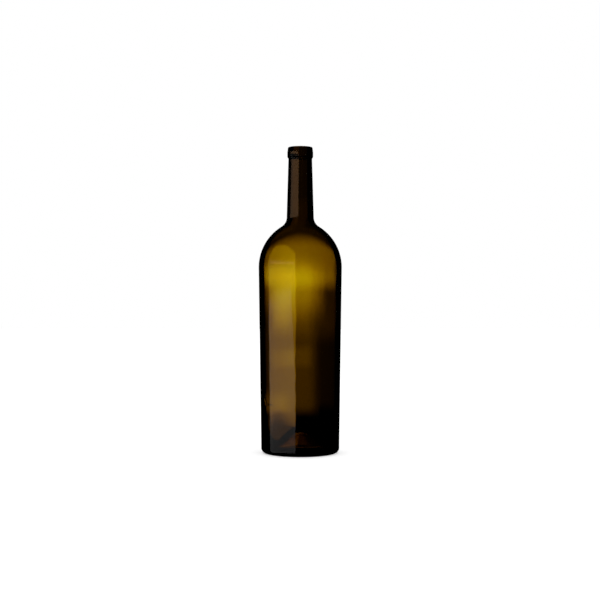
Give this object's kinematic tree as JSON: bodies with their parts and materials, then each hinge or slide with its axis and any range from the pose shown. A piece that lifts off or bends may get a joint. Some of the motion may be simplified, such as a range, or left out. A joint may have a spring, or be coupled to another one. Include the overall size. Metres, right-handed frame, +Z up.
{
  "type": "wine bottle",
  "caption": "Empty glass wine bottle, tall and slightly tapered, with round shoulders, a plain cork ring at the mouth and a punt in the base.",
  "frame": {"origin": "on the bottle's axis, in the plane of the standing ring under the base", "axes": "+Z up along the bottle's axis, from the base to the mouth; the bottle is the same all round, so +X and +Y have no features of their own"},
  "size_m": [0.1006, 0.1006, 0.37],
  "materials": {
    "glass": "polished olive-brown bottle glass, near black where it is thick"
  },
  "bodies": {
    "root": {"bottle": "glass"}
  },
  "joints": []
}
